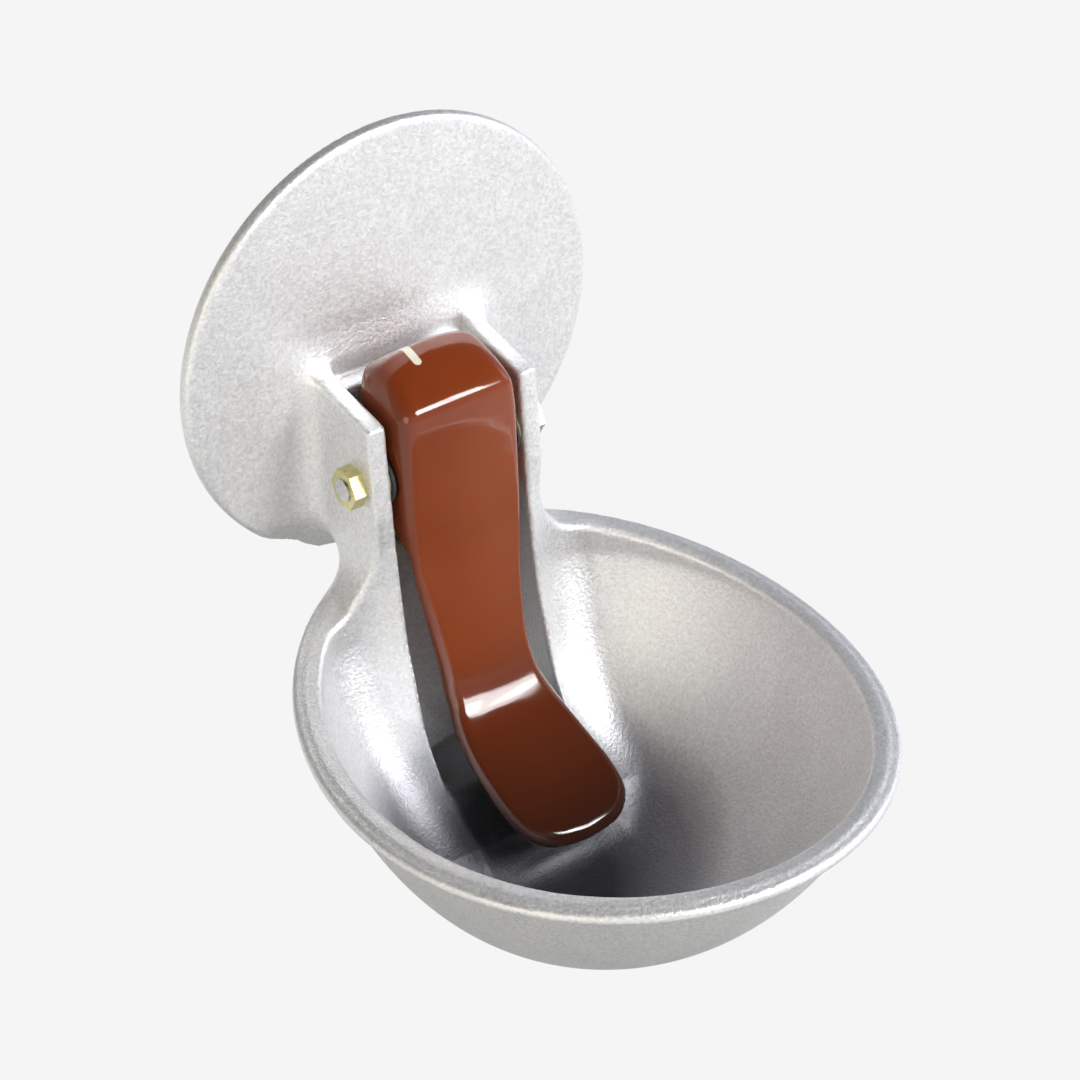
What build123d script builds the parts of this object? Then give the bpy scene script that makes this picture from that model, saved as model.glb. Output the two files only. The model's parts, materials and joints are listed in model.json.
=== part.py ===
from build123d import *
import math
import os

# Drinking bowl for cattle and horses: an aluminium casting that stands off a wall or tank, a nose
# paddle between its two cheeks, and a push valve behind the paddle.
# Millimetres. Origin: where the valve's axis meets the wall plane. +Z up, -Y away from the wall.

# ---- wall disc
disc_radius = 81.5
plate_thickness = 5.5
disc_height = 56.0            # disc centre above the valve axis
disc_edge_radius = 2.2

# ---- cheeks and throat
channel_width = 54.0
cheek_thickness = 7.5
cheek_reach = 41.5            # wall to the cheeks' upper front corner
cheek_foot_reach = 47.5       # wall to the cheeks' front edge where the bowl begins
cheek_top = 55.0              # top edge at the disc
cheek_corner_height = 50.0
cheek_foot_height = -4.0
cheek_edge_radius = 1.6
cheek_root_radius = 8.0       # fillet between the disc's front and the cheeks' outer faces
pad_thickness = 15.0          # thick wall behind the valve
pad_top = 50.0
# throat floor and the spine below it, seen from the side: (reach, height)
throat_floor = [(15.0, -16.0), (21.0, -20.0), (26.5, -32.0), (30.0, -46.0), (37.0, -64.0), (46.5, -84.0)]
spine = [(0.0, -22.0), (12.0, -22.0), (22.5, -36.0), (30.0, -50.0), (42.0, -66.0), (56.0, -84.0),
         (75.0, -99.0), (95.0, -106.0)]
flare_start = 30.0            # the ribs widen backwards from this half width
neck_margin = 3.5             # the neck's underside stays inside the disc's outline by this
neck_reach = 19.0

# ---- rim: an ellipse seen from above
rim_half_width = 96.5
rim_half_length = 107.5
rim_centre_reach = 120.5
rim_low_height = -32.6        # lowest line of the rim's top, across the bowl
rim_low_reach = 155.5
rim_bend_radius = 685.0       # the top of the rim follows a shallow arc, seen from the side
lip_thickness = 4.5
lip_overhang = 5.5
lip_edge_radius = 1.8

# ---- bowl
bowl_bottom = -120.0
bowl_foot_reach = 102.5       # the sections move back towards this distance as they narrow
bowl_wall = 4.5
bowl_fullness = 1.22          # exponents of the section curve: width falls off with depth
bowl_roundness = 2.41
section_depths = [-0.2, 0.0, 0.15, 0.35, 0.55, 0.73, 0.87, 0.95, 0.985]

# ---- ribs that carry the cheeks' front edges down into the bowl: (reach, height)
rib_edge = [(52.0, -31.0), (56.2, -45.7), (61.5, -64.0), (69.0, -76.7), (77.5, -86.0), (92.0, -97.0)]

# ---- rear mounting
screw_spacing_x = 40.0
screw_spacing_z = 56.0
screw_centre_height = 16.0
screw_hole_radius = 3.4       # tapping hole for M8
screw_hole_depth = 11.0
seal_groove_radius = 17.0
seal_width = 3.0
seal_depth = 3.0
seal_clearance = 0.1

# ---- pivot
pivot_height = 25.0
pivot_reach = 33.0
bolt_radius = 4.0
bolt_hole_clearance = 0.2
bolt_end_proud = 0.6
hex_m8 = 13.0
bolt_head_height = 4.0
nut_height = 5.0              # a thin nut
thrust_washer_radius = 9.0
thrust_washer_gap = 0.1       # each side, between the cheek and the bush's flange
sleeve_radius = 6.0
sleeve_wall = 1.85
bush_wall = 2.0
bush_flange_radius = 10.0
bush_flange = 1.0
running_clearance = 0.05

# ---- paddle: side view of its front skin, crown to tip: (reach, height)
paddle_front = [(24.0, 65.5), (34.5, 62.8), (41.0, 54.5), (44.0, 42.0), (47.5, 27.0), (49.1, 11.0),
                (50.2, -4.0), (53.4, -19.0), (57.0, -32.0), (60.8, -44.0), (65.5, -53.5), (73.0, -61.0),
                (85.5, -68.0), (101.5, -74.0), (112.5, -78.5), (119.0, -82.5)]
paddle_tip = (121.5, -86.5)
paddle_back = [(116.5, -89.5), (107.0, -86.0), (95.0, -81.0), (80.0, -74.5), (66.5, -67.5), (57.0, -57.0),
               (51.5, -44.0), (48.0, -31.0), (45.0, -16.0), (44.0, -4.0)]
ear_back_reach = 21.0
ear_bottom = 8.0
ear_corner_reach = 6.0
ear_corner_height = 8.0
heel_low = 10.0               # the crown's heel leans back to the pad between these, below the pad's top
heel_high = 4.0
crown_stop_gap = 0.3
crown_back_height = 58.0
# half outline seen from above, wall side to tip: (half width, reach)
paddle_half_outline = [(25.0, 47.5), (22.5, 50.3), (17.8, 56.0), (17.2, 60.5), (19.4, 68.0), (22.2, 78.0),
                       (24.4, 93.0), (24.4, 103.0), (20.5, 113.0), (12.0, 119.5), (0.0, 121.5)]
# crown seen from the front, side to top: (half width, height)
crown_outline = [(26.0, 46.0), (23.8, 55.0), (16.0, 62.0), (8.0, 65.2), (0.0, 66.2)]
paddle_skin = 5.5
paddle_side_wall = 6.0
hollow_bottom = -20.0
boss_radius = 8.0
striker_depth = 3.6

# ---- striker behind the paddle
striker_radius = 3.0
striker_head = 2.8
hex_m6 = 10.0
lock_nut_height = 3.2
striker_gap = 0.3

# ---- valve, lengths measured from the wall plane
valve_radius = 13.0
valve_fit = 0.1
inlet_radius = 9.32           # G 1/2 thread, inside its crests
inlet_depth = 11.2
gasket_thickness = 2.0
valve_hex = 27.0
valve_hex_height = 5.0
collar_radius = 12.0
valve_front = 29.0
chamber_radius = 8.5
web_thickness = 1.5
web_hole_radius = 6.0
cap_hex = 22.0
cap_front = 34.0
cap_shank = 4.5
stem_radius = 3.0
stem_end = 38.0
flute_radius = 0.9
seat_radius = 7.6
seat_thickness = 1.6
seal_thickness = 2.0
seat_gap = 0.05
seat_bore_gap = 1.2           # between the stem and the seat ring
retainer_thickness = 0.8
retainer_width = 1.0
head_radius = 7.5
head_thickness = 2.0
spring_wire = 0.8
spring_radius = 6.9
spring_turns = 4.0
o_ring_section = 1.5
strainer_rim = 0.8
strainer_seat_radius = 8.6
strainer_slot = 1.2
strainer_slots = 8
strainer_radius = 5.0
strainer_depth = 4.5
strainer_wall = 0.4

cheek_outer = channel_width / 2 + cheek_thickness
beyond = 2 * disc_radius      # past any piece on the valve's or the pivot's axis
os.makedirs("parts", exist_ok=True)


def along_y(radius, front, back, height=0.0, across=0.0):
    """Round bar parallel to Y between two distances from the wall."""
    length = front - back
    return Pos(across, -(front + back) / 2, height) * Rot(90, 0, 0) * Cylinder(radius, length)


def along_x(radius, low, high):
    """Round bar on the pivot axis."""
    middle = (low + high) / 2
    return Pos(middle, -pivot_reach, pivot_height) * Rot(0, 90, 0) * Cylinder(radius, high - low)


def hex_along_y(across_flats, front, back):
    prism = extrude(RegularPolygon(across_flats / 2, 6, major_radius=False), front - back)
    return Pos(0, -back, 0) * Rot(90, 0, 0) * prism


def hex_along_x(across_flats, low, high):
    """Hexagon bar on the pivot axis, with a flat on top."""
    hexagon = RegularPolygon(across_flats / 2, 6, major_radius=False, rotation=30)
    prism = extrude(hexagon, high - low)
    return Pos(low, -pivot_reach, pivot_height) * Rot(0, 90, 0) * prism


def side_view_slab(wire, half_width):
    """Solid of a side-view outline, drawn as (reach, height), both sides of the middle plane."""
    return Pos(-half_width, 0, 0) * extrude(make_face(wire), 2 * half_width, dir=(1, 0, 0))


def side_points(points):
    return [(0, -reach, height) for reach, height in points]


def save(node, shape):
    shape.label = node
    export_step(shape, "parts/" + node + ".step")


# ------------------------------------------------------------------ casting
def section_scale(depth):
    """Width of the bowl at a depth from 0 at the rim to 1 at the bottom."""
    return (1 - max(depth, 0.0) ** bowl_fullness) ** (1 / bowl_roundness)


def bowl_section(inset, scale, height):
    """Ellipse of the bowl, drawn in by an inset, then narrowed to a share of its size."""
    reach = bowl_foot_reach + (rim_centre_reach - bowl_foot_reach) * scale
    ellipse = Ellipse((rim_half_width - inset) * scale, (rim_half_length - inset) * scale)
    return Pos(0, -reach, height) * ellipse


def bowl_solid(inset, bottom):
    """Lofted bowl between the rim and a bottom height."""
    depth_range = rim_low_height - bottom
    sections = []
    for depth in section_depths:
        sections.append(bowl_section(inset, section_scale(depth), rim_low_height - depth * depth_range))
    return loft(sections)


def rim_height(reach, drop):
    """Height of the rim's top at a distance from the wall, lowered square to its arc by a drop."""
    radius = rim_bend_radius + drop
    return rim_low_height + rim_bend_radius - math.sqrt(radius ** 2 - (reach - rim_low_reach) ** 2)


def under_rim(drop):
    """Everything below the rim's arc, lowered by a drop."""
    reaches = (-disc_radius, disc_radius, 4 * disc_radius)
    arc = ThreePointArc(*side_points([(reach, rim_height(reach, drop)) for reach in reaches]))
    low = 2 * bowl_bottom
    base = Polyline([arc @ 1, (0, -reaches[2], low), (0, -reaches[0], low), arc @ 0])
    return side_view_slab(Wire([*arc.edges(), *base.edges()]), 2 * disc_radius)


def rim_lip():
    """Turned-out lip, rounded along its outer edge."""
    slab = extrude(bowl_section(0, 1, bowl_bottom), 2 * disc_radius)
    lip = slab & (under_rim(0) - under_rim(lip_thickness))
    return fillet(lip.edges(), lip_edge_radius)


def wall_disc():
    disc = along_y(disc_radius, plate_thickness, 0, disc_height)
    front_edge = disc.edges().filter_by(GeomType.CIRCLE)
    return fillet(front_edge, disc_edge_radius)


def cheek_outline():
    """Side view of a cheek, of the rib below it and of the spine behind the bowl."""
    foot = (cheek_foot_reach, cheek_foot_height)
    top = (0, cheek_top + plate_thickness)
    corners = [top, (plate_thickness, cheek_top), (cheek_reach, cheek_corner_height), foot]
    front = Polyline(side_points(corners))
    rib = Spline(side_points([foot] + rib_edge))
    back = Polyline(side_points([rib_edge[-1], spine[-1]] + spine[-2::-1] + [top]))
    return Wire([*front.edges(), rib, *back.edges()])


def rib_flare():
    """Backward slope from the ribs' front edges to the bowl's wall, on both sides."""
    face = Pos(flare_start, 0, 0) * make_face(cheek_outline())
    return both_sides(extrude(face, disc_radius, dir=(1, 1, 0)))


def channel_space():
    """Space between the cheeks: in front of the pad, and down the throat's floor into the bowl."""
    far = 2 * disc_radius
    floor = [(pad_thickness, pad_top)] + throat_floor
    end = [(far, throat_floor[-1][1]), (far, far)]
    points = [(plate_thickness, far), (plate_thickness, pad_top)] + floor + end
    return side_view_slab(Polyline(side_points(points), close=True), channel_width / 2)


def screw_places():
    for side in (-1, 1):
        for level in (-1, 1):
            yield side * screw_spacing_x / 2, screw_centre_height + level * screw_spacing_z / 2


def rear_holes():
    """Everything that is cut from the back: valve hole, seal groove and tapped holes."""
    holes = along_y(valve_radius + valve_fit, pad_thickness + 1, -1)
    groove = along_y(seal_groove_radius + seal_width / 2, seal_depth, -1)
    holes += groove - along_y(seal_groove_radius - seal_width / 2, seal_depth, -1)
    for x, z in screw_places():
        holes += along_y(screw_hole_radius, screw_hole_depth, -1, z, x)
    return holes


def cheek():
    """Right-hand cheek and rib, with the cheek's top and front edges rounded."""
    face = Pos(channel_width / 2, 0, 0) * make_face(cheek_outline())
    slab = extrude(face, cheek_thickness, dir=(1, 0, 0))
    rounded = []
    for edge in slab.edges():
        box = edge.bounding_box()
        in_front = box.max.Y < -plate_thickness + 0.01 and box.min.Z > cheek_foot_height - 0.01
        if in_front and box.size.X < cheek_thickness / 2:
            rounded.append(edge)
    return fillet(rounded, cheek_edge_radius)


def cheek_root():
    """Coved fillet between the disc's front and the right-hand cheek's outer face."""
    side = cheek_root_radius
    length = 4 * disc_radius
    cove = Pos(side / 2, -side / 2, 0) * Box(side, side, length)
    cove = cove - Pos(side, -side, 0) * Cylinder(side, length)
    cove = Pos(cheek_outer, -plate_thickness, 0) * cove & side_view_slab(cheek_outline(), cheek_outer + side)
    return cove & along_y(disc_radius - neck_margin, side + plate_thickness, 0, disc_height)


def both_sides(shape):
    return shape + mirror(shape, Plane.YZ)


def neck_room():
    """Where the throat's block may be: inside the disc's outline, and freely in front of it."""
    size = 8 * disc_radius
    in_front = Pos(0, -neck_reach - size / 2, 0) * Box(size, size, size)
    above = Pos(0, 0, disc_height + size / 2) * Box(size, size, size)
    return in_front + above + along_y(disc_radius - neck_margin, neck_reach, 0, disc_height)


def casting():
    size = 8 * disc_radius
    cavity = bowl_solid(lip_overhang + bowl_wall, bowl_bottom + bowl_wall)
    neck = (side_view_slab(cheek_outline(), channel_width / 2) + both_sides(cheek())) & neck_room()
    bowl = (bowl_solid(lip_overhang, bowl_bottom) & under_rim(0)) + rim_lip()
    ribs = neck + (rib_flare() & bowl) - Box(channel_width, size, size)
    body = bowl + neck - (cavity - ribs)
    body = body + wall_disc() + both_sides(cheek_root()) - channel_space()
    body = body - rear_holes()
    return body - along_x(bolt_radius + bolt_hole_clearance, -disc_radius, disc_radius)


# ------------------------------------------------------------------ paddle
paddle_half = paddle_half_outline[0][0]
striker_tip = stem_end + striker_gap
lock_nut_back = striker_tip + striker_head
boss_face = lock_nut_back + lock_nut_height


def inset_curve(points, inset):
    """Points of a side view curve moved square to it, towards the wall."""
    moved = []
    last = len(points) - 1
    for i, (reach, height) in enumerate(points):
        before, after = points[max(i - 1, 0)], points[min(i + 1, last)]
        along = (after[0] - before[0], after[1] - before[1])
        length = math.hypot(*along)
        moved.append((reach + along[1] / length * inset, height - along[0] / length * inset))
    return moved


def paddle_profile():
    """Side view of the whole paddle, filled."""
    stop = pad_thickness + crown_stop_gap
    front = Spline(side_points(paddle_front + [paddle_tip]))
    nose = Spline(side_points([paddle_tip] + paddle_back))
    ear = [paddle_back[-1], (ear_back_reach + ear_corner_reach, ear_bottom),
           (ear_back_reach, ear_bottom + ear_corner_height), (ear_back_reach, pad_top - heel_low),
           (stop, pad_top - heel_high), (stop, crown_back_height), paddle_front[0]]
    return Wire([*front.edges(), *nose.edges(), *Polyline(side_points(ear)).edges()])


def paddle_plan():
    """Outline of the paddle seen from above, as a tall block."""
    right = [(half, -reach) for half, reach in paddle_half_outline]
    left = [(-x, y) for x, y in reversed(right)]
    side = Spline(right, tangents=[(0, -1), (-1, 0)])
    other = Spline(left, tangents=[(-1, 0), (0, 1)])
    back = Polyline([left[-1], (left[-1][0], 0), (right[0][0], 0), right[0]])
    outline = Wire([*side.edges(), *other.edges(), *back.edges()])
    return Pos(0, 0, -2 * disc_radius) * extrude(make_face(outline), 4 * disc_radius)


def crown_front():
    """Rounded top of the crown seen from the front, as a deep block."""
    right = [(half, 0, height) for half, height in crown_outline]
    left = [(-x, 0, z) for x, y, z in reversed(right)]
    arch = [Spline(right, tangents=[(-0.1, 0, 1), (-1, 0, 0)])]
    arch.append(Spline(left, tangents=[(-1, 0, 0), (-0.1, 0, -1)]))
    low = -2 * disc_radius
    base = Polyline([left[-1], (left[-1][0], 0, low), (right[0][0], 0, low), right[0]])
    outline = Wire([arch[0], arch[1], *base.edges()])
    return extrude(make_face(outline), 4 * disc_radius, dir=(0, -1, 0))


def paddle_hollow():
    """Room behind the skin, open towards the wall, from the crown down to the waist."""
    upper = [p for p in paddle_front if p[1] > hollow_bottom]
    skin = inset_curve(upper, paddle_skin)
    closing = Polyline(side_points([skin[-1], (0, skin[-1][1]), (0, skin[0][1]), skin[0]]))
    wire = Wire([*Spline(side_points(skin)).edges(), *closing.edges()])
    return side_view_slab(wire, paddle_half - paddle_side_wall)


def paddle():
    body = side_view_slab(paddle_profile(), disc_radius) & paddle_plan() & crown_front()
    boss = along_y(boss_radius, boss_face + paddle_skin, boss_face)
    spot_face = along_y(boss_radius, boss_face, boss_face - boss_radius)
    body = body - paddle_hollow() + boss - spot_face
    bush_hole = along_x(sleeve_radius + bush_wall + 2 * running_clearance, -paddle_half, paddle_half)
    screw_hole = along_y(striker_radius + running_clearance, boss_face + striker_depth + 0.4, boss_face)
    return body - bush_hole - screw_hole


def striker_bolt():
    head = hex_along_y(hex_m6, lock_nut_back, striker_tip)
    dome = Pos(0, -striker_tip - hex_m6, 0) * Sphere(hex_m6)
    return (head & dome) + along_y(striker_radius, boss_face + striker_depth, lock_nut_back)


def striker_lock_nut():
    nut = hex_along_y(hex_m6, boss_face, lock_nut_back)
    return nut - along_y(striker_radius + running_clearance, beyond, 0)


# ------------------------------------------------------------------ pivot
def pivot_bolt():
    shank = along_x(bolt_radius, -cheek_outer - nut_height - bolt_end_proud, cheek_outer)
    return shank + hex_along_x(hex_m8, cheek_outer, cheek_outer + bolt_head_height)


def pivot_nut():
    nut = hex_along_x(hex_m8, -cheek_outer - nut_height, -cheek_outer)
    return nut - along_x(bolt_radius + running_clearance, -beyond, 0)


def pivot_washers():
    flange_face = paddle_half + bush_flange + thrust_washer_gap
    ring = along_x(thrust_washer_radius, flange_face, channel_width / 2 - thrust_washer_gap)
    return both_sides(ring - along_x(sleeve_radius + running_clearance, 0, beyond))


def pivot_sleeve():
    half = channel_width / 2 - running_clearance
    return along_x(sleeve_radius, -half, half) - along_x(sleeve_radius - sleeve_wall, -beyond, beyond)


def paddle_bushes():
    outer = sleeve_radius + bush_wall + running_clearance
    inner = paddle_half - paddle_side_wall
    bush = along_x(outer, inner, paddle_half)
    bush += along_x(bush_flange_radius, paddle_half, paddle_half + bush_flange)
    bush = bush - along_x(sleeve_radius + running_clearance, 0, beyond)
    return both_sides(bush)


# ------------------------------------------------------------------ valve
web_back = inlet_depth + strainer_rim
web_front = web_back + web_thickness
hex_back = pad_thickness + gasket_thickness
hex_front = hex_back + valve_hex_height
cap_back = valve_front - cap_shank
seal_front = cap_back - seat_gap
seal_back = seal_front - seal_thickness
head_back = seal_back - head_thickness
o_ring_radius = chamber_radius + 1.0
o_ring_depth = o_ring_section


def valve_body():
    body = along_y(valve_radius, hex_front, 0) + hex_along_y(valve_hex, hex_front, hex_back)
    body += along_y(collar_radius, valve_front, hex_front)
    body -= along_y(inlet_radius, inlet_depth, 0) + along_y(strainer_seat_radius, web_back, 0)
    body -= along_y(web_hole_radius, web_front, 0)
    body -= along_y(chamber_radius, beyond, web_front)
    return body - along_y(o_ring_radius + o_ring_section / 2, beyond, valve_front - o_ring_depth)


def valve_cap():
    cap = along_y(chamber_radius - running_clearance, valve_front, cap_back)
    cap += hex_along_y(cap_hex, cap_front, valve_front)
    cap -= along_y(seat_radius + running_clearance, cap_back + seat_thickness, cap_back)
    return cap - along_y(stem_radius + running_clearance, beyond, 0)


def ring_along_y(outer, inner, front, back):
    return along_y(outer, front, back) - along_y(inner, front + 1, back - 1)


def valve_stem():
    stem = along_y(stem_radius, stem_end, head_back) + along_y(head_radius, seal_back, head_back)
    for k in range(3):
        turn = math.radians(120 * k + 90)
        across, up = stem_radius * math.cos(turn), stem_radius * math.sin(turn)
        stem -= along_y(flute_radius, beyond, cap_back + seat_thickness, up, across)
    return stem


def valve_seat():
    return ring_along_y(seat_radius, stem_radius + seat_bore_gap, cap_back + seat_thickness, cap_back)


def seal_retainer():
    outer = stem_radius + retainer_width
    return ring_along_y(outer, stem_radius, seal_front + retainer_thickness, seal_front)


def valve_spring():
    length = head_back - web_front - spring_wire - 2 * running_clearance
    path = Helix(length / spring_turns, length, spring_radius)
    start = Plane(origin=path @ 0, z_dir=path % 0)
    coil = sweep(start * Circle(spring_wire / 2), path, is_frenet=True)
    return Pos(0, -web_front - spring_wire / 2 - running_clearance, 0) * Rot(90, 0, 0) * coil


def inlet_strainer():
    rim_radius = strainer_seat_radius - seal_clearance
    rim = ring_along_y(rim_radius, strainer_radius - strainer_wall, web_back, inlet_depth)
    end = web_back + strainer_depth
    cup = along_y(strainer_radius, end, inlet_depth)
    cup -= along_y(strainer_radius - strainer_wall, end - strainer_wall, 0)
    slot_length = end - web_back - 2 * strainer_wall
    for k in range(strainer_slots):
        slot = Box(strainer_radius, slot_length, strainer_slot)
        cup -= Rot(0, 360 / strainer_slots * k, 0) * Pos(strainer_radius, -(web_back + end) / 2, 0) * slot
    return rim + cup


def cap_o_ring():
    ring = Torus(o_ring_radius, o_ring_section / 2 - running_clearance)
    return Pos(0, -valve_front + o_ring_depth / 2, 0) * Rot(90, 0, 0) * ring


def rear_seal_ring():
    half = seal_width / 2 - seal_clearance
    return ring_along_y(seal_groove_radius + half, seal_groove_radius - half, seal_depth, 0)


save("cast_body", casting())
save("nose_paddle", paddle())
save("striker_bolt", striker_bolt())
save("striker_lock_nut", striker_lock_nut())
save("pivot_bolt", pivot_bolt())
save("pivot_nut", pivot_nut())
save("pivot_washers", pivot_washers())
save("pivot_sleeve", pivot_sleeve())
save("paddle_bushes", paddle_bushes())
save("valve_body", valve_body())
save("valve_gasket", ring_along_y(valve_hex / 2, valve_radius + valve_fit, hex_back, pad_thickness))
save("valve_cap", valve_cap())
save("cap_o_ring", cap_o_ring())
save("valve_seat", valve_seat())
save("valve_stem", valve_stem())
save("stem_seal", ring_along_y(head_radius, stem_radius, seal_front, seal_back))
save("seal_retainer", seal_retainer())
save("valve_spring", valve_spring())
save("inlet_strainer", inlet_strainer())
save("rear_seal_ring", rear_seal_ring())
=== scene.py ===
import math

import bpy
import numpy as np
import openvdb
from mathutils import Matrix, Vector
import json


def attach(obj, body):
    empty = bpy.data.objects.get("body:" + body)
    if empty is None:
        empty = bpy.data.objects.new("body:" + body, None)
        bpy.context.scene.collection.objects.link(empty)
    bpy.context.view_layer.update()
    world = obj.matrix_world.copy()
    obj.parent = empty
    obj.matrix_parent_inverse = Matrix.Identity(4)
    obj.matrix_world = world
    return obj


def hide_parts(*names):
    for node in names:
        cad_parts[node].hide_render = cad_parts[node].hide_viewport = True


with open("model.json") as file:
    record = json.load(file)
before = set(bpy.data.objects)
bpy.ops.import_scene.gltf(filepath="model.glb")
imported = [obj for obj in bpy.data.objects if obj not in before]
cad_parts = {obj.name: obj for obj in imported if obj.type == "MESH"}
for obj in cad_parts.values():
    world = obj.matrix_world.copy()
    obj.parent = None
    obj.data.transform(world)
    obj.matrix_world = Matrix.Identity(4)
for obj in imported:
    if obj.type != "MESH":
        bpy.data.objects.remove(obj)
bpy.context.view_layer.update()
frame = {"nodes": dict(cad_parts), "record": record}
MM = 0.001


# ---------------------------------------------------------------- camera
def aim(o, place, target):
    """Puts an object at a place with its -Z axis towards a target."""
    o.location = place
    o.rotation_mode = "QUATERNION"
    o.rotation_quaternion = (target - place).to_track_quat("-Z", "Y")
    bpy.context.collection.objects.link(o)


CAMERA_AT = Vector((-568.9, -865.1, 701.5)) * MM
LOOK_AT = Vector((10.4, -75.5, 8.0)) * MM
camera_data = bpy.data.cameras.new("Camera")
camera_data.lens = 119.72
camera_data.sensor_width = 36
camera_data.clip_start = 0.01
camera = bpy.data.objects.new("Camera", camera_data)
aim(camera, CAMERA_AT, LOOK_AT)
bpy.context.scene.camera = camera
bpy.context.scene.view_settings.view_transform = "Standard"

# ---------------------------------------------------------------- distance fields
# millimetres: x across, r = distance from the wall, z up
# the right half is computed and mirrored
BAND = 3                                # cells kept past the surface and past the middle plane
FAR, TINY = 1e9, 1e-9
LEAST = 1e-3                            # keeps a division finite on the bowl's axis
LEAST_SLOPE = 0.004
SMOOTH = 8                              # steps between two points where a curve shows most


def blend_union(a, b, r):
    """Union of two distance fields with a round fillet between them."""
    u, v = np.maximum(r - a, 0), np.maximum(r - b, 0)
    return np.maximum(r, np.minimum(a, b)) - np.sqrt(u * u + v * v)


def blend_common(a, b, r):
    """Common part of two distance fields with its edge rounded."""
    return -blend_union(-a, -b, r)


def outline_field(points, p, q):
    """Signed distance from a closed outline on a plane grid."""
    best = np.full(np.broadcast(p, q).shape, FAR, np.float32)
    inside = np.zeros(best.shape, bool)
    for (p0, q0), (p1, q1) in zip(points, points[1:] + points[:1]):
        dp, dq = p1 - p0, q1 - q0
        t = np.clip(((p - p0) * dp + (q - q0) * dq) / (dp * dp + dq * dq + TINY), 0, 1)
        best = np.minimum(best, (p - p0 - t * dp) ** 2 + (q - q0 - t * dq) ** 2)
        inside ^= ((q0 > q) != (q1 > q)) & (p < dp * (q - q0) / (dq if dq else TINY) + p0)
    return (np.where(inside, -1, 1) * np.sqrt(best)).astype(np.float32)


def curve(points, count=6):
    """Smooth line through points, with count steps between two of them."""
    pts = np.array([points[0]] + list(points) + [points[-1]], float)
    out = []
    for a, b, c, d in zip(pts, pts[1:], pts[2:], pts[3:]):
        for t in np.arange(count) / count:
            bend = (2 * a - 5 * b + 4 * c - d) * t ** 2 + (3 * b - a - 3 * c + d) * t ** 3
            out.append(0.5 * (2 * b + (c - a) * t + bend))
    out.append(pts[-1])
    return [tuple(v) for v in out]


def by_place(place, table):
    """Value that a table of places and values gives along one axis of the grid."""
    return np.interp(place, *table).astype(np.float32)


def from_line(a, b):
    """Distance from an axis, by the two coordinates across it."""
    return np.sqrt(a ** 2 + b ** 2)


def axes(step, half_width, reach, height):
    """Coordinates along x, r and z."""
    spans = ((-BAND * step, half_width), reach, height)
    return [np.arange(start, end, step, dtype=np.float32) for start, end in spans]


def both_halves(body, xs, rs, zs):
    """The field with its mirror image, and the corner where its grid starts."""
    return np.concatenate([body[:BAND:-1], body[BAND:]], axis=0), (-xs[-1], rs[0], zs[0])


# ---------------------------------------------------------------- the casting's skin
CASTING_GRID = 101, (-4, 233), (-125, 141)
DISC_R, DISC_T, DISC_Z = 81.5, 5.5, 56.0
DISC_EDGE, DISC_FILLET = 2.0, 10.0
CHANNEL, CHEEK = 27.0, 34.5
CHANNEL_CORNER, CHANNEL_EDGE, CHEEK_EDGE = 2.5, 1.7, 1.8
RIM_A, RIM_B, RIM_C = 96.5, 107.5, 120.5
RIM_LOW, RIM_LOW_R, RIM_BEND = -32.6, 155.5, 685.0
RIM_SINK = 0.05                         # the bowl's wall ends this far below the lip's top
LIP_T, LIP_OUT, WALL = 4.5, 5.5, 4.5
LIP_EDGE, LIP_FILLET = 2.1, 3.5
BOTTOM, FOOT_C = -118.6, 102.5
FULLNESS, ROUNDNESS = 1.22, 2.41
THROAT_FILLET, BOWL_EDGE = 14.0, 2.0
NECK_TOP = [(0, 60.5), (5.5, 55.0), (41.5, 50.0)]
SPINE = [(0, -22), (12, -22), (22.5, -36), (30, -50), (42, -66), (56, -84), (75, -99), (95, -106)]
RIB = [(47.5, -4), (52, -31), (56.2, -45.7), (61.5, -64), (69, -76.7), (77.5, -86), (92, -97)]
FLOOR = [(15, -16), (21, -20), (26.5, -32), (30, -46), (37, -64), (46.5, -84)]
SHELF_R, SHELF_Z, FLOOR_END = 15.0, 50.0, -84.0         # the channel runs back to the disc above SHELF_Z
OPEN = 160.0                            # past the end of the casting
BACKING_TOP = -45
SLOPE_FROM = 27.5                       # the neck's front slopes back from here outwards
FRONT_SLOPE = (-12, 16), (0.83, 0.0)                                # by z
UNDER_EDGE, WELL_INSIDE = 7.0, np.float32(-50)          # the second stands for no cut
UNDER_RADIUS = (0, 9.5, 16.5, 20, 26, 34, 60, 232), (70, 71.5, 74, 77, 86, 104, 200, 400)   # by r
FLARE = (-60, -44, -16, 40), (8, 11, 30, 30)                        # fillet at the neck, by z
FLARE_SHARE = (22, 46), (0.45, 1.0)                                 # part of it, by r
ARCH = (0, 31, 34, 39, 43, 46, 57, 101), (-13, -13, -10, -5, -3, -2, -3, -9)                # z, by x
ARCH_SLOPE, ARCH_SCALE, ARCH_EDGE = 2.0, 2.24, 0.8
PIVOT_R, PIVOT_Z, PIVOT_HOLE = 33, 25, 4.2
VALVE_HOLE, VALVE_DEPTH = 13.1, 16
GROOVE_AT, GROOVE_HALF, GROOVE_DEPTH = 17, 1.5, 3
TAPPED_X, TAPPED_Z, TAPPED_HOLE, TAPPED_DEPTH = 20, (-12, 44), 3.4, 11


def spread(f, step):
    """Turns a smooth implicit field into an approximate distance."""
    slope = np.sqrt(sum(g * g for g in np.gradient(f, step)))
    return (f / np.maximum(slope, LEAST_SLOPE)).astype(np.float32)


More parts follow.
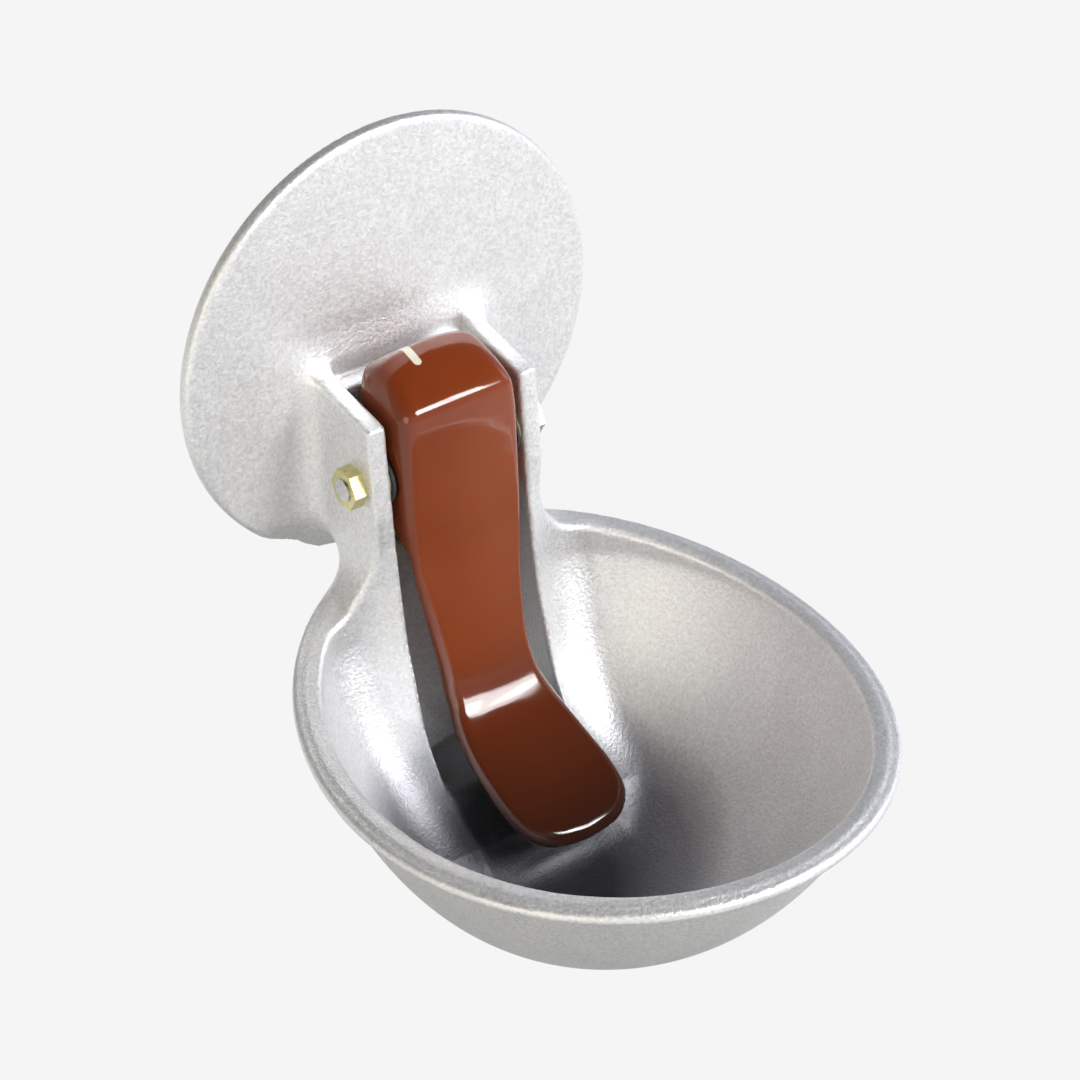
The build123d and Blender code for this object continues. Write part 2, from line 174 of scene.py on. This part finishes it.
def bowl_field(x, r, z, inset, bottom, step):
    """Distance from a bowl whose level sections are ellipses that narrow with depth."""
    depth = np.maximum((RIM_LOW - z) / (RIM_LOW - bottom), 0)
    scale = np.maximum(1 - depth ** FULLNESS, 0) ** (1 / ROUNDNESS)
    centre = FOOT_C + (RIM_C - FOOT_C) * scale
    e = (x / (RIM_A - inset)) ** 2 + ((r - centre) / (RIM_B - inset)) ** 2
    return spread((e ** (ROUNDNESS / 2) + depth ** FULLNESS - 1).astype(np.float32), step)


def casting_field(step):
    """Disc, neck with cheeks, and bowl, with the channel and the holes cut out."""
    xs, rs, zs = axes(step, *CASTING_GRID)
    x, r, z = xs[:, None, None], rs[None, :, None], zs[None, None, :]
    r2, z2 = rs[:, None], zs[None, :]
    ax = np.abs(x)
    # lip and bowl, filled
    q = (RIM_BEND - from_line(r - RIM_LOW_R, z - RIM_LOW - RIM_BEND)).astype(np.float32)
    e = from_line(x / RIM_A, (r - RIM_C) / RIM_B)
    ge = from_line(x / RIM_A ** 2, (r - RIM_C) / RIM_B ** 2) / np.maximum(e, LEAST)
    lip_side = ((e - 1) / np.maximum(ge, LEAST)).astype(np.float32)
    lip = blend_common(lip_side, np.abs(q + LIP_T / 2) - LIP_T / 2, LIP_EDGE)
    outer = bowl_field(x, r, z, LIP_OUT, BOTTOM, step)
    inner = bowl_field(x, r, z, LIP_OUT + WALL, BOTTOM + WALL, step)
    full = blend_union(np.maximum(outer, q + RIM_SINK), lip, LIP_FILLET)
    # neck with its cheeks, ribs and spine; below the cheeks its front slopes back to the bowl's wall
    neck_side = outline_field(NECK_TOP + curve(RIB) + curve(SPINE[::-1]), r2, z2)[None]
    slope = by_place(z, FRONT_SLOPE)
    wedge = (neck_side + slope * np.maximum(ax - SLOPE_FROM, 0)) / np.sqrt(1 + slope ** 2)
    from_centre = from_line(x, z - DISC_Z)
    under = (from_centre - np.interp(r, *UNDER_RADIUS)).astype(np.float32)
    under = np.where(z > DISC_Z, WELL_INSIDE, under)
    neck = blend_common(wedge, ax - CHEEK, CHEEK_EDGE)
    neck = blend_common(neck, under, UNDER_EDGE)
    body = blend_union(full, neck, by_place(z, FLARE) * by_place(r, FLARE_SHARE))
    body = blend_common(body, -blend_common(inner, -wedge, THROAT_FILLET), BOWL_EDGE)
    # wall disc, cut back below an arched line beside the neck
    rad = (from_centre - DISC_R).astype(np.float32)
    disc = blend_common(rad, np.abs(r - DISC_T / 2) - DISC_T / 2 + 0 * x, DISC_EDGE)
    below = (np.interp(x, *ARCH) - (DISC_T - r) * ARCH_SLOPE - z) / ARCH_SCALE
    disc = blend_common(disc, below.astype(np.float32), ARCH_EDGE)
    body = blend_union(body, disc, DISC_FILLET)
    body = np.maximum(body, -r)
    # channel between the cheeks, which stays clear of the disc's face by its edge's rounding
    back = DISC_T + CHANNEL_EDGE
    edge = [(back, OPEN), (back, SHELF_Z), (SHELF_R, SHELF_Z)] + curve(FLOOR)
    edge += [(OPEN, FLOOR_END), (OPEN, OPEN)]
    channel = blend_common(outline_field(edge, r2, z2)[None], ax - CHANNEL, CHANNEL_CORNER)
    # below BACKING_TOP it leaves the bowl's wall whole
    backing = np.minimum(outer + WALL, BACKING_TOP - z)
    body = blend_common(body, -np.maximum(channel, backing), CHANNEL_EDGE)
    # pivot hole, valve hole, seal groove and tapped holes
    body = np.maximum(body, PIVOT_HOLE - from_line(r - PIVOT_R, z - PIVOT_Z) + 0 * x)
    axis = from_line(x, z)
    body = np.maximum(body, -np.maximum(axis - VALVE_HOLE, r - VALVE_DEPTH))
    body = np.maximum(body, -np.maximum(np.abs(axis - GROOVE_AT) - GROOVE_HALF, r - GROOVE_DEPTH))
    for level in TAPPED_Z:
        tapped = from_line(ax - TAPPED_X, z - level) - TAPPED_HOLE
        body = np.maximum(body, -np.maximum(tapped, r - TAPPED_DEPTH))
    return both_halves(body, xs, rs, zs)


# ---------------------------------------------------------------- the paddle's skin
PADDLE_GRID = 27, (12, 124), (-93, 69)
# (reach, height, half width) down the front
FRONT = [(24.0, 65.8, 25.4), (30.0, 63.2, 25.4), (37.0, 59.4, 25.4), (43.2, 55.6, 25.4), (46.2, 52.4, 25.4),
         (47.3, 47.5, 25.4), (47.8, 38.0, 25.4), (48.2, 27.0, 25.2), (49.1, 11.0, 24.6), (50.2, -4.0, 22.9),
         (53.4, -19.0, 20.4), (57.0, -32.0, 18.8), (60.8, -44.0, 17.9), (65.5, -53.5, 18.5),
         (73.0, -61.0, 20.7), (85.5, -68.0, 23.4), (101.5, -74.0, 24.5), (112.5, -78.5, 21.0),
         (119.0, -82.5, 13.0)]
TIP = (121.5, -86.5)
# (reach, height) from the tip up the back
BACK = [(116.5, -89.5), (107.0, -86.0), (95.0, -81.0), (80.0, -74.5), (66.5, -67.5), (57.0, -57.0),
        (51.5, -44.0), (48.0, -31.0), (45.0, -16.0), (44.0, -4.0)]
EAR = [(27, 8), (21, 16), (21, 40), (15.4, 46), (15.4, 58)]
# (half width, height) seen from the front
CROWN = [(25.0, 44.0), (23.6, 54.0), (18.5, 61.0), (10.0, 64.9), (0.0, 66.2)]
CROWN_BASE = [(-25, -150), (25, -150)]
CROWN_EDGE = 5.0
SKIN_T, SIDE_T, HOLLOW_EDGE = 5.5, 6.0, 1.0
ROOM_LOW, ROOM_HIGH = -20, 54
ROUNDING = (-80, -60, 0, 40, 56), (4.3, 3.8, 3.6, 6.5, 9.0)         # of the front's edges, by z
BULGE, BULGE_AT = 0.7, 22
RUN_START, RUN_STEP, RUN_HALF = -40, 0.5, 25
RUN_ON = [(121.5, -83.3), (140, -93)]   # carries the run past the tip
TIP_RUN, TIP_BACK, TIP_HALF = 10.2, 3, 13.2
BOSS_R, BOSS_FROM, BOSS_TO, BOSS_SINK, BOSS_EDGE = 8.0, 44.5, 50, 0.5, 0.5
BUSH_HOLE = 8.1


def paddle_field(step):
    """Hooded crown, waist and tongue, hollow behind the skin."""
    xs, rs, zs = axes(step, *PADDLE_GRID)
    x, r, z = xs[:, None, None], rs[None, :, None], zs[None, None, :]
    r2, z2 = rs[:, None], zs[None, :]
    front = curve([(a, b) for a, b, c in FRONT] + [TIP], SMOOTH)
    nose = curve([TIP] + BACK)
    profile = outline_field(front + nose[1:] + EAR, r2, z2)
    # half width follows the distance run down the front
    run = np.array([(a, b) for a, b, c in FRONT[:-1]] + RUN_ON)
    lengths = np.concatenate([[0], np.cumsum(np.hypot(*np.diff(run, axis=0).T))])
    s_table = np.arange(RUN_START, lengths[-1], RUN_STEP, dtype=np.float32)
    near, along = np.full(profile.shape, FAR, np.float32), np.zeros(profile.shape, np.float32)
    for (a, b), (c, d), s0, s1 in zip(run, run[1:], lengths, lengths[1:]):
        t = np.clip(((r2 - a) * (c - a) + (z2 - b) * (d - b)) / ((c - a) ** 2 + (d - b) ** 2), 0, 1)
        away = (r2 - a - t * (c - a)) ** 2 + (z2 - b - t * (d - b)) ** 2
        along = np.where(away < near, s0 + t * (s1 - s0), along)
        near = np.minimum(near, away)
    widths = [(s0, c) for s0, (a, b, c) in zip(lengths, FRONT[:-1])]
    tip_run = lengths[-3] + TIP_RUN
    half = curve([(RUN_START, RUN_HALF)] + widths + [(tip_run - TIP_BACK, TIP_HALF), (tip_run, 0)], SMOOTH)
    outline = half + [(s0, -w) for s0, w in half[-2::-1]]
    table = outline_field([(w, s0) for s0, w in outline], xs[:, None], s_table[None, :])
    place = np.clip(((along - RUN_START) / RUN_STEP).astype(int), 0, len(s_table) - 1)
    sides = table[:, place]
    bulge = (BULGE * (x / BULGE_AT) ** 2).astype(np.float32)
    body = blend_common(profile[None] + bulge, sides, by_place(z, ROUNDING))
    arch = curve(CROWN, SMOOTH)
    arch = arch + [(-a, b) for a, b in arch[-2::-1]] + CROWN_BASE
    body = blend_common(body, outline_field(arch, xs[:, None], z2)[:, None, :], CROWN_EDGE)
    # hollow behind the skin, with the boss and the bush hole
    hollow = np.maximum(outline_field(inner_room(front), r2, z2)[None], sides + SIDE_T)
    body = blend_common(body, -hollow, HOLLOW_EDGE)
    boss = np.maximum(from_line(x, z) - BOSS_R, np.maximum(BOSS_FROM - r, r - BOSS_TO))
    body = np.minimum(body, blend_common(boss.astype(np.float32), profile[None] + BOSS_SINK, BOSS_EDGE))
    body = np.maximum(body, BUSH_HOLE - from_line(r - PIVOT_R, z - PIVOT_Z) + 0 * x)
    return both_halves(body, xs, rs, zs)


def inner_room(front):
    """Side view of the room behind the paddle's skin, open to the wall."""
    pts = [p for p in front if ROOM_LOW < p[1] < ROOM_HIGH]
    moved = []
    for before, here, after in zip(pts, pts[1:], pts[2:]):
        dr, dz = after[0] - before[0], after[1] - before[1]
        n = math.hypot(dr, dz)
        moved.append((here[0] + dz / n * SKIN_T, here[1] - dr / n * SKIN_T))
    return moved + [(0, moved[-1][1]), (0, moved[0][1])]


# ---------------------------------------------------------------- meshes
def skin(name, field, corner, step):
    """Mesh of a distance field's surface."""
    grid = openvdb.FloatGrid(BAND * step)
    grid.copyFromArray(np.ascontiguousarray(np.clip(field, -BAND * step, BAND * step)))
    points, quads = grid.convertToQuads(0.0)
    p = np.array(points) * step + np.array(corner)
    p = np.stack([p[:, 0], -p[:, 1], p[:, 2]], 1) * MM
    mesh = bpy.data.meshes.new(name)
    mesh.vertices.add(len(p))
    mesh.vertices.foreach_set("co", p.astype(np.float32).ravel())
    mesh.loops.add(quads.size)
    mesh.loops.foreach_set("vertex_index", np.array(quads, np.int32).ravel())
    mesh.polygons.add(len(quads))
    mesh.polygons.foreach_set("loop_start", np.arange(0, quads.size, 4, dtype=np.int32))
    mesh.update(calc_edges=True)
    mesh.validate()
    mesh.polygons.foreach_set("use_smooth", np.ones(len(mesh.polygons), bool))
    made = bpy.data.objects.new(name, mesh)
    bpy.context.collection.objects.link(made)
    return made


def volume_sign(o):
    """Below zero where a closed mesh of quads has its faces turned inwards."""
    mesh = o.data
    co = np.empty(len(mesh.vertices) * 3, np.float32)
    mesh.vertices.foreach_get("co", co)
    co = co.reshape(-1, 3)
    loops = np.empty(len(mesh.loops), np.int32)
    mesh.loops.foreach_get("vertex_index", loops)
    quad = loops.reshape(-1, 4)
    a, b, c, d = (co[quad[:, i]] for i in range(4))
    return sum(np.einsum("ij,ij->i", a, np.cross(*pair)).sum() for pair in ((b, c), (c, d)))


skins = {}
for name, node, body, make, coarse, fine in (
        ("cast_skin", "cast_body", "body", casting_field, 1.5, 1.0),
        ("paddle_skin", "nose_paddle", "paddle", paddle_field, 1.0, 0.7)):
    step = fine
    field, corner = make(step)
    made = skin(name, field, corner, step)
    if volume_sign(made) < 0:
        made.data.flip_normals()
    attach(made, body)
    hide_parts(node)
    skins[name] = made


# ---------------------------------------------------------------- node trees
class Nodes:
    """Adds nodes to the tree of a material or a world."""

    def __init__(self, owner):
        owner.use_nodes = True
        self.nodes = owner.node_tree.nodes
        self.links = owner.node_tree.links

    def feed(self, socket, value):
        """Links a socket to another, or gives it a value."""
        if isinstance(value, bpy.types.NodeSocket):
            self.links.new(value, socket)
        else:
            socket.default_value = value

    def add(self, kind, *inputs, **settings):
        """New node with its settings, then its inputs as pairs of socket and value."""
        n = self.nodes.new("ShaderNode" + kind)
        for name, value in settings.items():
            setattr(n, name, value)
        for socket, value in inputs:
            self.feed(n.inputs[socket], value)
        return n

    def ramp(self, source, stops):
        n = self.add("ValToRGB", ("Fac", source))
        for i, (place, colour) in enumerate(stops):
            stop = n.color_ramp.elements[i] if i < 2 else n.color_ramp.elements.new(place)
            stop.position = place
            stop.color = (*colour, 1)
        return n.outputs["Color"]

    def mix(self, factor, a, b, kind="MIX"):
        """Mix of two colours; 6 and 7 are its colour sockets and 2 its colour output."""
        n = self.add("Mix", data_type="RGBA", blend_type=kind)
        for socket, value in (("Factor", factor), (6, a), (7, b)):
            self.feed(n.inputs[socket], value)
        return n.outputs[2]

    def multiply(self, a, b):
        return self.mix(1, a, b, "MULTIPLY")

    def range(self, source, low, high, to_low=0, to_high=1):
        return self.add("MapRange", ("From Min", low), ("From Max", high), ("To Min", to_low),
                        ("To Max", to_high), ("Value", source)).outputs["Result"]

    def part(self, vector, axis):
        return self.add("SeparateXYZ", ("Vector", vector)).outputs[axis]

    def math(self, kind, a, b=0):
        return self.add("Math", (0, a), (1, b), operation=kind).outputs["Value"]


class Shader(Nodes):
    """Builds one node material."""

    def __init__(self, name):
        self.material = bpy.data.materials.new(name)
        super().__init__(self.material)
        self.surface = self.nodes["Principled BSDF"]
        self.coords = self.add("TexCoord").outputs["Object"]

    def noise(self, scale, detail, rough):
        return self.add("TexNoise", ("Scale", scale), ("Detail", detail), ("Roughness", rough),
                        ("Vector", self.coords)).outputs["Fac"]

    def away_from(self, point):
        """Distance from a point, in metres."""
        return self.add("VectorMath", (0, self.coords), (1, point), operation="DISTANCE").outputs["Value"]

    def bump(self, source, strength, distance):
        return self.add("Bump", ("Strength", strength), ("Distance", distance), ("Height", source))

    def set(self, **values):
        for name, value in values.items():
            self.feed(self.surface.inputs[name.replace("_", " ")], value)
        return self.material


# ---------------------------------------------------------------- materials
WHITE = (1, 1, 1)
GRAIN = 0.3, 0.7                        # the part of a noise that carries its change

PAINTED_SHADE_AT = (-0.010, -0.100, -0.106)      # centre of the painted shade in the bowl, metres
PAINTED_SHADE_FROM, PAINTED_SHADE_TO = 0.074, 0.028       # distances from it where the painted shade starts and is full
FACES_UP = 0.0, 0.3                     # by the normal's z
PAINTED_SHADE_CLOUD = 0.2


def cast_aluminium():
    s = Shader("cast_aluminium")
    grit = s.noise(1100, 2, 0.7)
    speck = s.noise(820, 4, 0.65)
    cloud = s.noise(45, 5, 0.55)
    low, high = GRAIN
    colour = s.ramp(speck, [(low, (0.69, 0.69, 0.695)), (high, (0.93, 0.93, 0.93))])
    shade = s.ramp(cloud, [(low, (0.93, 0.93, 0.935)), (high, WHITE)])
    # painted shade: darkens what faces up at the bottom of the bowl, where the paddle's tongue and the
    # front rim cast shadow
    facing = s.add("NewGeometry").outputs["Normal"]
    up = s.range(s.part(facing, "Z"), *FACES_UP)
    shade_pool = s.range(s.away_from(PAINTED_SHADE_AT), PAINTED_SHADE_FROM, PAINTED_SHADE_TO)
    uneven = s.math("MULTIPLY", s.math("SUBTRACT", cloud, 0.5), PAINTED_SHADE_CLOUD)
    painted_shade = s.math("ADD", s.math("MULTIPLY", up, shade_pool), uneven)
    painted_shade_tone = s.ramp(painted_shade, [(0.08, WHITE), (0.45, (0.42, 0.42, 0.45)), (1.0, (0.09, 0.09, 0.10))])
    colour = s.multiply(s.multiply(colour, shade), painted_shade_tone)
    coarse, fine = s.bump(speck, 0.42, 0.0007), s.bump(grit, 0.35, 0.0003)
    s.feed(fine.inputs["Normal"], coarse.outputs["Normal"])
    return s.set(Base_Color=colour, Metallic=0.82,
                 Roughness=s.range(speck, *GRAIN, 0.42, 0.54), Normal=fine.outputs["Normal"])


TONGUE_SHADE_FROM, TONGUE_SHADE_TO = -0.040, -0.082     # heights between which painted shade darkens the enamel, metres
HIGHLIGHT_X, HIGHLIGHT_Y = -0.0072, -0.0265       # centre of the painted highlight, metres
HIGHLIGHT_HALF = 0.0042                      # half length before its round ends
HIGHLIGHT_EDGE = 0.0016, 0.0013              # the painted highlight starts and is full, from its middle line
HIGHLIGHT_Z = 0.050, 0.052                   # it is on top only
# cream colour of the painted highlight
HIGHLIGHT_CREAM = (0.62, 0.60, 0.48, 1)


def enamel():
    s = Shader("paddle_enamel")
    wave = s.noise(38, 2, 0.4)
    tint = s.noise(12, 3, 0.5)
    low, high = GRAIN
    colour = s.ramp(tint, [(low, (0.15, 0.026, 0.006)), (high, (0.21, 0.042, 0.010))])
    # painted shade: darker and less red towards the tongue, for the dark surroundings it reflects
    down = s.range(s.part(s.coords, "Z"), TONGUE_SHADE_FROM, TONGUE_SHADE_TO)
    colour = s.multiply(colour, s.ramp(down, [(0.0, WHITE), (1.0, (0.14, 0.20, 0.40))]))
    # painted highlight on the crown: a cream rounded bar that runs fore and aft, in place of a lamp's
    # reflection
    beside = s.math("SUBTRACT", s.part(s.coords, "X"), HIGHLIGHT_X)
    from_middle = s.math("ABSOLUTE", s.math("SUBTRACT", s.part(s.coords, "Y"), HIGHLIGHT_Y))
    past_end = s.math("MAXIMUM", s.math("SUBTRACT", from_middle, HIGHLIGHT_HALF))
    flat = s.add("CombineXYZ", ("X", beside), ("Y", past_end)).outputs["Vector"]
    length = s.add("VectorMath", (0, flat), operation="LENGTH").outputs["Value"]
    on_top = s.range(s.part(s.coords, "Z"), *HIGHLIGHT_Z)
    colour = s.mix(s.math("MULTIPLY", s.range(length, *HIGHLIGHT_EDGE), on_top), colour, HIGHLIGHT_CREAM)
    return s.set(Base_Color=colour, Roughness=s.range(tint, *GRAIN, 0.09, 0.15),
                 Normal=s.bump(wave, 0.3, 0.003).outputs["Normal"],
                 Specular_IOR_Level=0.35, Coat_Weight=0.25, Coat_Roughness=0.04)


METAL = {"scale": 700, "strength": 0.12, "distance": 0.0002, "metallic": 1.0}
PLASTIC = {"scale": 500, "strength": 0.15, "distance": 0.0003, "metallic": 0.0}
ROUGH_MORE = 0.1                        # the roughest grain, above the smoothest


def grained(name, dark, light, rough, kind):
    """Metal or plastic with a fine grain in its colour, roughness and surface."""
    s = Shader(name)
    grain = s.noise(kind["scale"], 4, 0.6)
    low, high = GRAIN
    return s.set(Base_Color=s.ramp(grain, [(low, dark), (high, light)]), Metallic=kind["metallic"],
                 Roughness=s.range(grain, *GRAIN, rough, rough + ROUGH_MORE),
                 Normal=s.bump(grain, kind["strength"], kind["distance"]).outputs["Normal"])


looks = {"cast_aluminium": cast_aluminium(), "paddle_enamel": enamel()}
for name, dark, light, rough, kind in (
        ("plain_steel", (0.48, 0.48, 0.47), (0.58, 0.58, 0.57), 0.30, METAL),
        ("bright_steel", (0.60, 0.60, 0.59), (0.70, 0.70, 0.69), 0.22, METAL),
        ("spring_steel", (0.42, 0.42, 0.42), (0.52, 0.52, 0.52), 0.30, METAL),
        ("yellow_zinc", (0.62, 0.56, 0.26), (0.75, 0.70, 0.38), 0.26, METAL),
        ("brass", (0.62, 0.46, 0.18), (0.72, 0.56, 0.24), 0.28, METAL),
        ("bush_plastic", (0.02, 0.02, 0.02), (0.035, 0.035, 0.035), 0.75, PLASTIC),
        ("seat_plastic", (0.80, 0.80, 0.78), (0.85, 0.85, 0.83), 0.45, PLASTIC),
        ("black_rubber", (0.015, 0.015, 0.015), (0.03, 0.03, 0.03), 0.6, PLASTIC)):
    looks[name] = grained(name, dark, light, rough, kind)


def dress(o, look):
    o.data.materials.clear()
    o.data.materials.append(looks[look])


slots = {s["node"]: s["material_slot"] for s in frame["record"]["subparts"]}
for node, o in frame["nodes"].items():
    dress(o, slots[node])
for name, look in (("cast_skin", "cast_aluminium"), ("paddle_skin", "paddle_enamel")):
    dress(skins[name], look)

# ---------------------------------------------------------------- light
BACKDROP = (0.913, 0.913, 0.913, 1)     # what the camera sees behind and below
world = bpy.data.worlds.new("World")
bpy.context.scene.world = world
w = Nodes(world)
way = w.add("TexCoord").outputs["Generated"]


def tint(axis, stops):
    """Colour of the surroundings by direction along one axis, from -1 to 1."""
    return w.ramp(w.range(w.part(way, axis), -1, 1), stops)


height = tint("Z", [(0.45, WHITE), (0.68, (0.8, 0.8, 0.82)), (0.92, (0.08, 0.08, 0.09))])
depth = tint("Y", [(0.1, WHITE), (0.5, (0.8, 0.8, 0.8)), (0.85, (0.65, 0.65, 0.64))])
side = tint("X", [(0.1, (1.0, 0.96, 0.84)), (0.5, (0.95, 0.95, 0.96)), (0.9, (0.72, 0.76, 0.9))])
lit = w.nodes["Background"]
w.feed(lit.inputs["Color"], w.multiply(w.multiply(height, depth), side))
lit.inputs["Strength"].default_value = 0.75
seen = w.add("Background", ("Color", BACKDROP))
pick = w.add("MixShader", ("Fac", w.add("LightPath").outputs["Is Camera Ray"]),
             (1, lit.outputs["Background"]), (2, seen.outputs["Background"]))
w.feed(w.nodes["World Output"].inputs["Surface"], pick.outputs["Shader"])

LIT_AT = Vector((0, -0.1, 0))
for name, direction, distance, size, power, colour in (
        ("Key", (0.38, -0.70, 0.62), 1.9, (0.8, 0.7), 33, WHITE),
        ("Window", (0.34, -0.66, 0.62), 1.6, (0.15, 0.30), 6, WHITE),
        ("Window_side", (0.50, -0.60, 0.60), 1.6, (0.06, 0.28), 1.6, WHITE),
        ("Left", (-0.92, -0.35, 0.25), 1.7, (0.9, 0.9), 7, (1.0, 0.93, 0.76)),
        ("Right", (0.9, -0.1, 0.35), 1.6, (0.8, 0.8), 3, (0.85, 0.9, 1))):
    lamp = bpy.data.lights.new(name, "AREA")
    lamp.shape = "RECTANGLE"
    lamp.size, lamp.size_y = size
    lamp.energy = power
    lamp.color = colour
    aim(bpy.data.objects.new(name, lamp), LIT_AT + Vector(direction).normalized() * distance, LIT_AT)

# ---------------------------------------------------------------- floor
FLOOR_HALF, FLOOR_Z = 6.0, -0.35
DARK_TO, PALE_FROM = 0.22, 0.62         # distances from under the bowl where the painted shadow is full and where it ends, metres
floor_mesh = bpy.data.meshes.new("Floor")
corners = [(a * FLOOR_HALF, b * FLOOR_HALF, FLOOR_Z) for a, b in ((-1, -1), (1, -1), (1, 1), (-1, 1))]
floor_mesh.from_pydata(corners, [], [(0, 1, 2, 3)])
floor = bpy.data.objects.new("Floor", floor_mesh)
bpy.context.collection.objects.link(floor)
s = Shader("floor_pale")
s.set(Base_Color=(0.8, 0.8, 0.8, 1), Roughness=0.8)
rays = s.add("LightPath").outputs
# the camera sees the backdrop, and a reflection sees a floor with a painted shadow under the bowl
shadow_spot = s.range(s.away_from((0.0, -0.1, FLOOR_Z)), DARK_TO, PALE_FROM)
under = s.ramp(shadow_spot, [(0, (0.36, 0.36, 0.35)), (1, WHITE)])
glow = s.add("Emission", ("Color", s.mix(rays["Is Camera Ray"], under, BACKDROP)))
either = s.math("MAXIMUM", rays["Is Camera Ray"], rays["Is Glossy Ray"])
mixer = s.add("MixShader", ("Fac", either), (1, s.surface.outputs["BSDF"]), (2, glow.outputs["Emission"]))
s.feed(s.nodes["Material Output"].inputs["Surface"], mixer.outputs["Shader"])
floor_mesh.materials.append(s.material)
